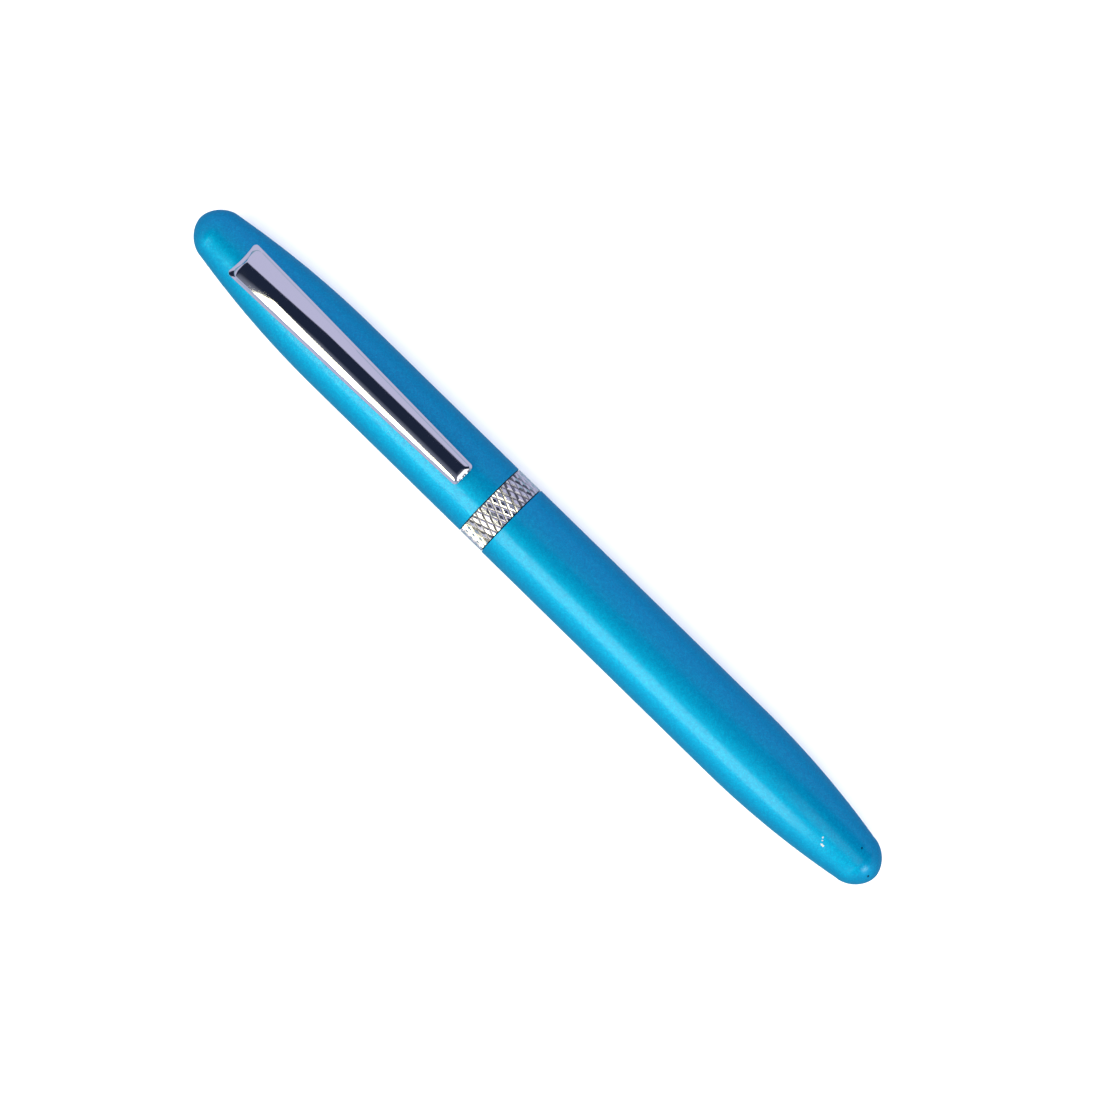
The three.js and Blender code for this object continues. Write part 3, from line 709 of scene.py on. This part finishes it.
# %% Cut the knurl to the band and close it
BAND_EDGE = 0.06 * MM
BAND_RIM = CREST - 1.4 * KNURL_DEPTH  # the plain ring at each end, below the grooves
for end, outward in ((band_low.x, -1), (band_high.x, 1)):
    everything = strip.verts[:] + strip.edges[:] + strip.faces[:]
    bmesh.ops.bisect_plane(
        strip, geom=everything, dist=1e-8, plane_co=(end - outward * BAND_EDGE, 0, AXIS),
        plane_no=(outward, 0, 0), clear_outer=True,
    )
ends = []
for end, outward in ((band_low.x, -1), (band_high.x, 1)):
    rim = [
        e for e in strip.edges
        if e.is_boundary and all(abs(v.co.x - end) < 2 * BAND_EDGE for v in e.verts)
    ]
    for radius in (BAND_RIM, CAP_BORE):
        grown = bmesh.ops.extrude_edge_only(strip, edges=rim)["geom"]
        rim = [g for g in grown if isinstance(g, bmesh.types.BMEdge)]
        for v in {v for e in rim for v in e.verts}:
            out = Vector((0, v.co.y, v.co.z - AXIS)).normalized() * radius
            v.co = (end, out.y, AXIS + out.z)
    ends += rim
bmesh.ops.bridge_loops(strip, edges=ends)
bmesh.ops.recalc_face_normals(strip, faces=strip.faces)
stand_for("cap_band", strip, "knurled_band", math.radians(20))

# %% [markdown]
# ## The pocket clip
#
# The clip is pressed from sheet: seen from above it is a long rounded wedge with a narrow rim that
# slopes down to its outer edge. Inside the rim the metal is crowned, and the crown ends in a short
# slope at the head and a longer one at the tip, like a hipped roof. Its reflections run along the
# crown, so the surface has to be even.
#
# Subdividing a few faces would round it, but with no control over where the crease at the rim
# lies. Instead the clip is built from closed rings, each a smaller outline that stands higher than
# the last, and neighbours are joined with bridge_loops. All rings have the same number of points,
# so the faces run straight across. The last ring has shrunk to the crown's middle line, where its
# two sides are merged.

# %% Sizes of the clip
clip_low, clip_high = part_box("clip_arm")
CLIP_TIP = clip_low.x
EDGE_CORNER = 0.62 * MM  # the corners' radius, seen from above
HEAD_WIDTH = (clip_high.y - clip_low.y) / 2  # half widths
TIP_WIDTH = 1.93 * MM
TOP = clip_high.z  # the crown's middle line, over the straight stretch
ARM_THICKNESS = 1.3 * MM  # through the crown
CROWN_RADIUS = 4.4 * MM
MOST_CROWN = 0.74 * MM
RIM = 0.42 * MM
RIM_STEP = 0.05 * MM
RIM_FALL = 0.28 * MM  # the rim slopes down to its outer edge
HEAD_RIM = 0.54 * MM
HEAD_LIFT = 0.12 * MM  # underneath, so that the head clears the cap when the clip opens
HEAD_SLOPE = 17 * MM
HEAD_DROP = 2.07 * MM
TIP_BEND, TIP_DROP = 1.4 * MM, 0.6 * MM  # only underneath
HEAD_HOLLOW = 0.18 * MM  # how far the middle of the head's edge is drawn in
HEAD_HIP, TIP_HIP = 0.7 * MM, 1.7 * MM  # from the rim to the end of the crown's middle line


def half_width_at(x):
    share = (x - CLIP_TIP) / (CLIP_HEAD - CLIP_TIP)
    return TIP_WIDTH + (HEAD_WIDTH - TIP_WIDTH) * share


def crown_line(x):
    """The height of the crown's middle line: level, with a slope to the head."""
    to_head = max(0.0, 1 - (CLIP_HEAD - x) / HEAD_SLOPE)
    return TOP - HEAD_DROP * to_head**2


def underside(x):
    """The height of the arm's underside: down to the cap at the tip, and a little up at the head."""
    to_tip = max(0.0, 1 - (x - CLIP_TIP) / TIP_BEND)
    to_end = max(0.0, 1 - (CLIP_HEAD - x) / (3 * HEAD_RIM))
    return crown_line(x) - ARM_THICKNESS - TIP_DROP * to_tip**1.6 + HEAD_LIFT * to_end


def crown_at(x):
    """How much the crown's middle stands over its rim, the same arc wherever it is cut."""
    half = half_width_at(x) - RIM
    return min(MOST_CROWN, CROWN_RADIUS - math.sqrt(CROWN_RADIUS**2 - half**2))


# %% The clip's outline, seen from above
SIDE_STEPS, CORNER_STEPS, END_STEPS = 110, 8, 12


def arc(centre_x, centre_y, radius, start, steps):
    """Points of a quarter circle, going round anticlockwise from start."""
    for i in range(steps):
        angle = start + math.pi / 2 * i / steps
        yield centre_x + radius * math.cos(angle), centre_y + radius * math.sin(angle)


def straight(first, last, steps):
    for i in range(steps):
        share = i / steps
        yield tuple(a + (b - a) * share for a, b in zip(first, last))


def clip_outline(side_inset, tip_inset, head_inset, tip_corner, head_corner):
    """The outline as (x, y) points, drawn in from the clip's real edge, in one closed ring."""
    tip, head = CLIP_TIP + tip_inset, CLIP_HEAD - head_inset
    tip_half = half_width_at(tip) - side_inset - tip_corner
    head_half = half_width_at(head) - side_inset - head_corner
    points = list(straight((head, -head_half), (head, head_half), END_STEPS))
    points += arc(head - head_corner, head_half, head_corner, 0, CORNER_STEPS)
    head_side, tip_side = head_half + head_corner, tip_half + tip_corner
    head_start, tip_start = head - head_corner, tip + tip_corner
    points += straight((head_start, head_side), (tip_start, tip_side), SIDE_STEPS)
    points += arc(tip + tip_corner, tip_half, tip_corner, math.pi / 2, CORNER_STEPS)
    points += straight((tip, tip_half), (tip, -tip_half), END_STEPS)
    points += arc(tip + tip_corner, -tip_half, tip_corner, math.pi, CORNER_STEPS)
    points += straight((tip_start, -tip_side), (head_start, -head_side), SIDE_STEPS)
    points += arc(head - head_corner, -head_half, head_corner, 1.5 * math.pi, CORNER_STEPS)
    return [(x - hollow(x, y, head, head_half), y) for x, y in points]


def hollow(x, y, head, half):
    """The head's edge is drawn in at its middle, and less further back."""
    near = max(0.0, 1 - (head - x) / (2 * HEAD_RIM))
    return HEAD_HOLLOW * near * max(0.0, 1 - (y / half) ** 2)


edge_ring = clip_outline(0, 0, 0, EDGE_CORNER, EDGE_CORNER)
body_ring = clip_outline(RIM, 0.5 * RIM, HEAD_RIM, 0.4 * MM, 0.95 * MM)
spine = [
    min(max(x, CLIP_TIP + TIP_HIP), CLIP_HEAD - HEAD_RIM - HEAD_HIP) for x, y in body_ring
]
print(len(edge_ring), "points in each ring of the clip")

# %% Raise the clip ring by ring
CROWN_RINGS = 14
FIRST_SHARE = 0.025  # a ring close to the rim keeps the step there crisp


def add_ring(bm, points):
    ring = [bm.verts.new(p) for p in points]
    return [bm.edges.new((a, b)) for a, b in zip(ring, ring[1:] + ring[:1])]


def rim_height(x):
    return crown_line(x) - crown_at(x) - RIM_STEP


def rim_fall(x):
    """How far the rim slopes down: less at the head, where all of the clip slopes already."""
    to_head = max(0.0, 1 - (CLIP_HEAD - x) / (3 * HEAD_RIM))
    return RIM_FALL * (1 - 0.7 * to_head)


def crowned(share):
    """The ring that lies a share of the way from the rim's inner edge to the middle line."""
    points = []
    for (x, y), middle in zip(body_ring, spine):
        along, across = x + (middle - x) * share, y * (1 - share)
        rise = crown_at(along) * (1 - (1 - share) ** 2)
        points.append((along, across, rim_height(along) + RIM_STEP + rise))
    return points


clip = bmesh.new()
rings = [
    [(middle, 0, underside(middle)) for middle in spine],
    [(x, y, underside(x)) for x, y in edge_ring],
    [(x, y, rim_height(x) - rim_fall(x)) for x, y in edge_ring],
    [(x, y, rim_height(x)) for x, y in body_ring],
]
shares = [FIRST_SHARE] + [i / CROWN_RINGS for i in range(1, CROWN_RINGS + 1)]
rings += [crowned(share) for share in shares]
loops = [add_ring(clip, points) for points in rings]
for lower_loop, upper_loop in zip(loops, loops[1:]):
    bmesh.ops.bridge_loops(clip, edges=lower_loop + upper_loop)
cleaned(clip)
print("clip", len(clip.faces), "faces")

# %% [markdown]
# The foot is a tab that goes down through the slot in the cap into the holder. It is a rounded
# block, joined to the arm with a Boolean. The clip's outer edge is rounded first, while its faces
# are still in tidy rows.

# %% The clip's foot
CLIP_EDGE = 0.11 * MM
FOOT_EDGE = 0.08 * MM
FOOT_DEPTH = 2.2 * MM  # how far the foot goes down from the cap's outside
FOOT_OVERLAP = 0.3 * MM  # how far it goes up into the arm


def outer_edges(bm):
    """The edges between the clip's upright side and its top and bottom."""
    found = []
    for e in bm.edges:
        if len(e.link_faces) != 2:
            continue
        upright = [abs(f.normal.z) < 0.3 for f in e.link_faces]
        if upright.count(True) == 1:
            found.append(e)
    return found


bmesh.ops.bevel(
    clip, geom=outer_edges(clip), offset=CLIP_EDGE, segments=4, profile=0.5, affect="EDGES",
    clamp_overlap=True, material=-1,
)
foot_half = Vector((FOOT_THICKNESS / 2, FOOT_WIDTH / 2, 0))
cap_outside = AXIS + taper_radius(cap_tip - FOOT_MIDDLE, CAP_RADIUS, CAP_TAPER, CAP_BEND)
foot_bottom = Vector((FOOT_MIDDLE, 0, cap_outside - FOOT_DEPTH))
foot_top = Vector((FOOT_MIDDLE, 0, underside(FOOT_MIDDLE) + FOOT_OVERLAP))
foot = box_at(foot_bottom - foot_half, foot_top + foot_half, FOOT_EDGE)
stand_for("clip_arm", combined(clip, foot, "UNION"), "pocket_clip", math.radians(30))

# %% [markdown]
# ## Inside the cap and on the section
#
# These pieces show when the cap is off or the pen is unscrewed. Each is the frame's own section,
# turned smooth. The clip's holder has a slot at the top, so its section is cut from below.

# %% Turned pieces
turn_again("cap_sleeve", "sleeve_turned", 112, 0.04 * MM)
turn_again("inner_cap", "inner_cap_moulded", 96, 0.1 * MM)
turn_again("section_trim_ring", "trim_ring_turned", 128, 0.06 * MM)
turn_again("grip_section", "grip_moulded", 128, 0.12 * MM)
turn_again("section_nose", "nose_turned", 128, 0.05 * MM)
turn_again("section_o_ring", "o_ring_moulded", 96, 0.12 * MM)
turn_again("spring_seat", "spring_seat_moulded", 64, 0.04 * MM)
turn_again("refill_end_plug", "end_plug_moulded", 72, 0.08 * MM)
turn_again("refill_tube", "refill_tube_drawn", 72, 0.03 * MM)
turn_again("refill_front", "refill_front_moulded", 72, 0.08 * MM)
turn_again("refill_tip", "refill_tip_turned", 72, 0.03 * MM)

holder = round_corners(spin_whole(section_of("clip_holder", -1), 96), 0.04 * MM)
slot = box_at(slot_bottom - half_slot, slot_top + half_slot)
stand_for("clip_holder", combined(holder, slot, "DIFFERENCE"), "clip_holder_cut")

# %% [markdown]
# ## The thread
#
# A screw thread is a spin that also moves along its axis at every step. The ridge's section is a
# low trapezium, and its foot lies a little inside the core so that the Boolean has something to
# join.

# %% The section's threaded tail
THREAD_PITCH, THREAD_TURNS = 1.25 * MM, 4
THREAD_DEPTH = 0.33 * MM
THREAD_SLICES = 72
RIDGE_FOOT, RIDGE_CREST = 0.42 * MM, 0.14 * MM  # half widths
RIDGE_ROOT = 0.1 * MM  # how far its foot lies inside the core
RING_ROOM = 0.65 * MM  # between the last turn and the O-ring
ring_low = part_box("section_o_ring")[0]
thread_low, thread_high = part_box("section_thread")
trim_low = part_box("section_trim_ring")[0]
CORE = 4.5 * MM
REFILL_BORE = 3.15 * MM
SPIGOT = 3.85 * MM
shoulder = trim_low.x - 0.05 * MM
ridge_end = ring_low.x - RING_ROOM
ridge_start = ridge_end - THREAD_TURNS * THREAD_PITCH
core_line = line_through([
    (thread_low.x, REFILL_BORE),
    (thread_low.x, CORE),
    (shoulder, CORE),
    (shoulder, SPIGOT),
    (thread_high.x, SPIGOT),
    (thread_high.x, REFILL_BORE),
    (thread_low.x, REFILL_BORE),
])
core = round_corners(spin_whole(core_line, 96), 0.08 * MM)
ridge = line_through([
    (ridge_start - RIDGE_FOOT, CORE - RIDGE_ROOT),
    (ridge_start - RIDGE_CREST, CORE + THREAD_DEPTH),
    (ridge_start + RIDGE_CREST, CORE + THREAD_DEPTH),
    (ridge_start + RIDGE_FOOT, CORE - RIDGE_ROOT),
    (ridge_start - RIDGE_FOOT, CORE - RIDGE_ROOT),
])
bmesh.ops.remove_doubles(ridge, verts=ridge.verts, dist=0.001 * MM)
bmesh.ops.contextual_create(ridge, geom=ridge.edges[:])
slices = THREAD_TURNS * THREAD_SLICES
bmesh.ops.spin(
    ridge, geom=ridge.verts[:] + ridge.edges[:] + ridge.faces[:], cent=(0, 0, AXIS),
    axis=(-1, 0, 0), dvec=(THREAD_PITCH / THREAD_SLICES, 0, 0), angle=2 * math.pi * THREAD_TURNS,
    steps=slices,
)
cleaned(ridge)
stand_for("section_thread", combined(core, ridge, "UNION"), "section_tail")

# %% [markdown]
# ## The catch ring, the spring and the ball
#
# The catch ring is a spring ring with an opening, so its section is a filled face that is spun
# most of the way round. The spring is a round wire spun with a rise, as the thread is.

# %% The split catch ring
CATCH_GAP = math.radians(14)
catch = section_of("catch_ring")
bmesh.ops.contextual_create(catch, geom=catch.edges[:])
bmesh.ops.rotate(
    catch, cent=(0, 0, AXIS), matrix=Matrix.Rotation(math.pi + CATCH_GAP / 2, 3, "X"),
    verts=catch.verts,
)
bmesh.ops.spin(
    catch, geom=catch.verts[:] + catch.edges[:] + catch.faces[:], cent=(0, 0, AXIS),
    axis=(1, 0, 0), dvec=(0, 0, 0), angle=2 * math.pi - CATCH_GAP, steps=100,
)
stand_for("catch_ring", round_corners(cleaned(catch), 0.03 * MM), "catch_ring_split")

# %% The refill's spring
SPRING_TURNS = 4
WIRE = 0.22 * MM
spring_low, spring_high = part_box("refill_spring")
spring_radius = (spring_high.z - spring_low.z) / 2 - WIRE
spring_rise = spring_high.x - spring_low.x - 2 * WIRE
wire = bmesh.new()
bmesh.ops.create_circle(wire, cap_ends=True, radius=WIRE * 0.98, segments=14)
upright = Matrix.Rotation(math.pi / 2, 3, "X")
bmesh.ops.rotate(wire, cent=(0, 0, 0), matrix=upright, verts=wire.verts)
spring_foot = (spring_low.x + WIRE, 0, AXIS + spring_radius)
bmesh.ops.translate(wire, vec=spring_foot, verts=wire.verts)
spring_steps = 48 * SPRING_TURNS
bmesh.ops.spin(
    wire, geom=wire.verts[:] + wire.edges[:] + wire.faces[:], cent=(0, 0, AXIS),
    axis=(-1, 0, 0), dvec=(spring_rise / spring_steps, 0, 0),
    angle=2 * math.pi * SPRING_TURNS, steps=spring_steps,
)
spring = stand_for("refill_spring", cleaned(wire), "spring_wound")
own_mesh(spring)

# %% The writing ball
ball_low, ball_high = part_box("writing_ball")
ball = bmesh.new()
bmesh.ops.create_uvsphere(
    ball, u_segments=32, v_segments=20, radius=(ball_high.x - ball_low.x) / 2
)
bmesh.ops.translate(ball, vec=(ball_low + ball_high) / 2, verts=ball.verts)
stand_for("writing_ball", ball, "ball_polished")

# %% [markdown]
# ## What stays as it is
#
# Three hidden pieces have the right shape already: the threaded bush in the barrel, whose thread
# the frame has cut for real, and the fibre and the feed inside the refill. They keep their own
# meshes and only get their finishes.

# %% Finishes for the carried pieces
for name in ("barrel_thread_bush", "ink_fibre", "feed_rod"):
    node = frame["nodes"][name]
    node.data.materials.clear()
    node.data.materials.append(FINISHES[SLOT_OF[name]])
    print(name, "keeps its own mesh")

# %% [markdown]
# ## Floor, light and camera
#
# The pen lies on a white table. The light is what makes chrome look like chrome, so it is planned
# from the reflections. A large warm softbox on one side gives the long highlight on the barrel and
# the white stripe on the clip. Two small ones stand beyond the barrel's end, and are seen in what
# slopes that way, such as the tip of the clip. The World is a room, made of ramps along a few
# directions: a pale lavender side, end and lower wall, a dimmer wall behind the key light, near
# darkness in between, which fills the middle of the clip, and blue-green below the horizon.
#
# A soft sun lights the table. Both the sun and the table are left out of the reflections, because
# they would fill the chrome with plain white.

# %% Floor
floor_bm = bmesh.new()
bmesh.ops.create_grid(floor_bm, x_segments=4, y_segments=4, size=6)
floor = loose_object(floor_bm, "floor")
floor.location.z = -0.02 * MM  # just clear of the pen
material, shader, place = new_finish("white_table", (0.9, 0.9, 0.9), 0.0, 0.6)
uneven = noise(material, place, 30, 3)
cloud = ramp(material, uneven, (0.3, (0.89, 0.89, 0.895)), (0.7, (0.91, 0.91, 0.91)))
feed(material, shader, "Base Color", cloud)
shader.inputs["Specular IOR Level"].default_value = 0.1
floor.data.materials.append(material)
floor.visible_glossy = False
floor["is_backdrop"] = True

# %% The room's light
ROOM = (0.56, 0.56, 0.76)
DARK = (0.014, 0.021, 0.045)
GLOW = (0.17, 0.19, 0.25)  # the wall behind the key light
BELOW = (0.26, 0.4, 0.5)  # what faces down sees
ROOM_SIDE = (0.6, -0.8, 0)  # towards the pale side of the room
GLOW_SIDE = (-0.6, 0.8, 0)
world = bpy.data.worlds.new("studio")
SCENE.world = world
world.use_nodes = True
direction = add_node(world, "ShaderNodeTexCoord").outputs["Generated"]
up = add_node(world, "ShaderNodeSeparateXYZ", {"Vector": direction}).outputs["Z"]


def towards(side):
    """How far the direction points to a side of the room, from -1 to 1."""
    return add_node(
        world, "ShaderNodeVectorMath", {0: direction, 1: side}, operation="DOT_PRODUCT"
    ).outputs["Value"]


far_wall = ramp(world, towards(GLOW_SIDE), (0.15, DARK), (0.32, GLOW))
pale_side = between(world, towards(ROOM_SIDE), 0.0, 1.0, (0.38, 0.42))
pale_end = between(world, towards((1, 0, 0)), 0.0, 1.0, (0.76, 0.82))
low = between(world, up, 1.0, 0.0, (0.28, 0.36))
pale = math_node(world, "MAXIMUM", pale_side, math_node(world, "MAXIMUM", pale_end, low))
room = mix(world, pale, far_wall, (*ROOM, 1))
above = between(world, up, 0.0, 1.0, (-0.1, 0.1))
sky = mix(world, above, (*BELOW, 1), room)
world.node_tree.links.new(sky, world.node_tree.nodes["Background"].inputs["Color"])


def softbox(name, lean, turn, distance, width, length, power, color):
    """A soft light, leaning from straight overhead, turned round from +Y, aimed at the pen."""
    data = bpy.data.lights.new(name, "AREA")
    data.shape = "RECTANGLE"
    data.size, data.size_y = length, width
    data.energy = power
    data.color = color
    lamp = bpy.data.objects.new(name, data)
    SCENE.collection.objects.link(lamp)
    lean, turn = math.radians(lean), math.radians(turn)
    out = math.sin(lean)
    toward = Vector((math.sin(turn) * out, math.cos(turn) * out, math.cos(lean)))
    lamp.location = toward * distance
    lamp.rotation_euler = toward.to_track_quat("Z", "Y").to_euler()
    lamp.visible_camera = False


BOX_DISTANCE = 0.6
softbox(
    "key", lean=50, turn=2, distance=BOX_DISTANCE, width=0.37, length=0.6, power=3.5,
    color=(1.0, 0.96, 0.64),
)
softbox(
    "tip_box", lean=29, turn=-90, distance=BOX_DISTANCE, width=0.15, length=0.3, power=0.17,
    color=(1.0, 0.98, 0.95),
)
softbox(
    "end_box", lean=66, turn=-85, distance=BOX_DISTANCE, width=0.18, length=0.18, power=0.8,
    color=(1.0, 0.97, 0.8),
)
table_data = bpy.data.lights.new("table_light", "SUN")
table_data.energy = 3.7
table_data.angle = math.radians(60)  # as soft as a bright ceiling
table_data.color = (0.95, 0.96, 1.0)
table_light = bpy.data.objects.new("table_light", table_data)
SCENE.collection.objects.link(table_light)
table_light.visible_glossy = False

# %% The camera
IMAGE_RIGHT = Vector((-0.7148, -0.6994, 0))  # lays the pen diagonally across the view
LOOK_FROM = Vector((-4.9, -4.5, 335)) * MM
LOOK_AT = Vector((-1.7, -0.95, 6.25)) * MM
VIEW_ANGLE = math.radians(27.5)
camera_data = bpy.data.cameras.new("camera")
camera_data.sensor_width = 36
camera_data.lens = camera_data.sensor_width / 2 / math.tan(VIEW_ANGLE / 2)
camera_data.clip_start = 0.01
camera = bpy.data.objects.new("camera", camera_data)
SCENE.collection.objects.link(camera)
back = (LOOK_FROM - LOOK_AT).normalized()
right = (IMAGE_RIGHT - back * IMAGE_RIGHT.dot(back)).normalized()
axes = Matrix((right, back.cross(right), back)).transposed()
camera.matrix_world = Matrix.Translation(LOOK_FROM) @ axes.to_4x4()
SCENE.camera = camera
SCENE.view_settings.view_transform = "Standard"

# %% [markdown]
# ## The sizes
#
# The sizes of the mechanical pen and of the visible one are printed.

# %% Write the sizes and finish
visual_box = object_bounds()
for label, (low, high) in (("frame", cad_box), ("visible", visual_box)):
    print(label, [round(c / MM, 2) for c in (high - low)], "mm")
